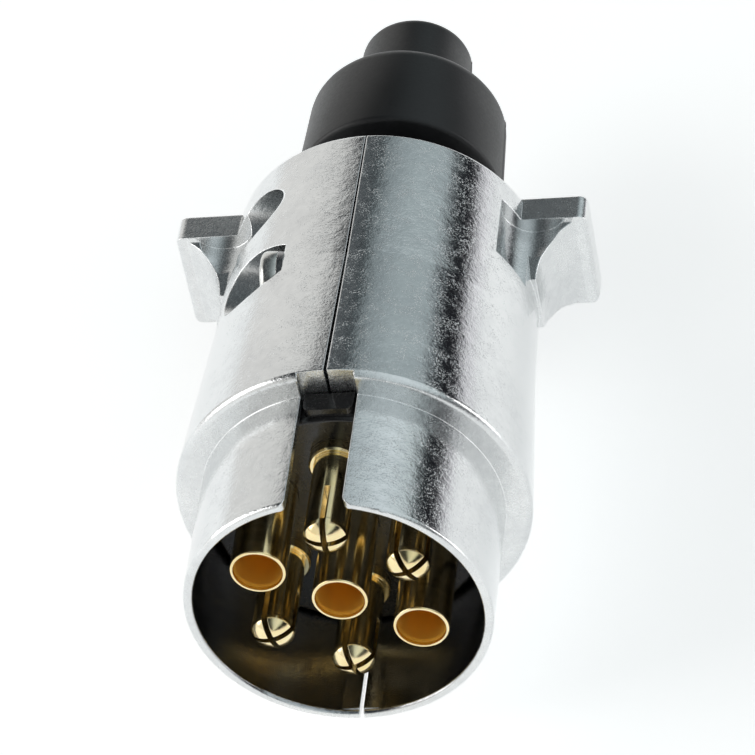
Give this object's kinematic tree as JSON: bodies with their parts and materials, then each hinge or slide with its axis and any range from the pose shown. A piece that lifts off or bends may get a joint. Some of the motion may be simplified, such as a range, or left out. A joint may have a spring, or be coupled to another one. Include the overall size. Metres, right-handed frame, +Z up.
{
  "type": "trailer wiring plug",
  "caption": "Round trailer wiring plug: plated split metal housing with keyway and finger wings, black insert with brass tube and split-pin contacts, and a rubber cable boot.",
  "frame": {"origin": "centre of the shroud's mouth, on the plug's axis, in the plane of the rim", "axes": "+Y along the plug from the mouth to the cable end, +Z up through the keyway and the joint between the halves, +X to the right half"},
  "size_m": [0.0508, 0.0992, 0.0416],
  "materials": {
    "cast_zinc": "bright plated casting",
    "insert_black": "gloss",
    "brass": "turned, bright",
    "screw_steel": "zinc plated",
    "boot_rubber": "matte"
  },
  "bodies": {
    "base": {"shell_right": "cast_zinc", "contact_insert": "insert_black", "tube_contact_1": "brass", "tube_contact_2": "brass", "tube_contact_3": "brass", "split_pin_1": "brass", "split_pin_2": "brass", "split_pin_3": "brass", "split_pin_4": "brass"},
    "cover": {"shell_left": "cast_zinc"},
    "boot": {"cable_boot": "boot_rubber"},
    "washer_front": {"spring_washer_front": "screw_steel"},
    "screw_front": {"case_screw_front": "screw_steel"},
    "washer_rear": {"spring_washer_rear": "screw_steel"},
    "screw_rear": {"case_screw_rear": "screw_steel"},
    "terminal_1": {"terminal_screw_1": "screw_steel"},
    "terminal_2": {"terminal_screw_2": "screw_steel"},
    "terminal_3": {"terminal_screw_3": "screw_steel"},
    "terminal_4": {"terminal_screw_4": "screw_steel"},
    "terminal_5": {"terminal_screw_5": "screw_steel"},
    "terminal_6": {"terminal_screw_6": "screw_steel"},
    "terminal_7": {"terminal_screw_7": "screw_steel"}
  },
  "joints": [
    {"name": "cover_lift", "type": "slide", "parent": "base", "child": "cover", "axis": [-1, 0, 0], "range_m": [0, 0.03]},
    {"name": "boot_turn", "type": "hinge", "parent": "base", "child": "boot", "pos_m": [0, 0.0608, 0], "axis": [0, 1, 0], "continuous": true},
    {"name": "case_screw_front_travel", "type": "slide", "parent": "cover", "child": "washer_front", "axis": [-1, 0, 0], "range_m": [0, 0.0091]},
    {"name": "case_screw_front_turn", "type": "hinge", "parent": "washer_front", "child": "screw_front", "pos_m": [-0.008, 0.0414, 0.0144], "axis": [-1, 0, 0], "range_deg": [0, 4680]},
    {"name": "case_screw_rear_travel", "type": "slide", "parent": "cover", "child": "washer_rear", "axis": [-1, 0, 0], "range_m": [0, 0.0091]},
    {"name": "case_screw_rear_turn", "type": "hinge", "parent": "washer_rear", "child": "screw_rear", "pos_m": [-0.005, 0.054, 0.0122], "axis": [-1, 0, 0], "range_deg": [0, 4680]},
    {"name": "terminal_screw_1_travel", "type": "slide", "parent": "base", "child": "terminal_1", "axis": [0.5, 0, 0.866], "range_m": [0, 0.0025]},
    {"name": "terminal_screw_2_travel", "type": "slide", "parent": "base", "child": "terminal_2", "axis": [-0.866, 0, 0.5], "range_m": [0, 0.0025]},
    {"name": "terminal_screw_3_travel", "type": "slide", "parent": "base", "child": "terminal_3", "axis": [0.866, 0, -0.5], "range_m": [0, 0.0025]},
    {"name": "terminal_screw_4_travel", "type": "slide", "parent": "base", "child": "terminal_4", "axis": [0, 0, 1], "range_m": [0, 0.0025]},
    {"name": "terminal_screw_5_travel", "type": "slide", "parent": "base", "child": "terminal_5", "axis": [0.866, 0, 0.5], "range_m": [0, 0.0025]},
    {"name": "terminal_screw_6_travel", "type": "slide", "parent": "base", "child": "terminal_6", "axis": [0, 0, -1], "range_m": [0, 0.0025]},
    {"name": "terminal_screw_7_travel", "type": "slide", "parent": "base", "child": "terminal_7", "axis": [-0.866, 0, -0.5], "range_m": [0, 0.0025]}
  ],
  "couplings": [
    {"joint": "case_screw_front_turn", "follows": "case_screw_front_travel", "rad_per_m": 8976},
    {"joint": "case_screw_rear_turn", "follows": "case_screw_rear_travel", "rad_per_m": 8976}
  ]
}
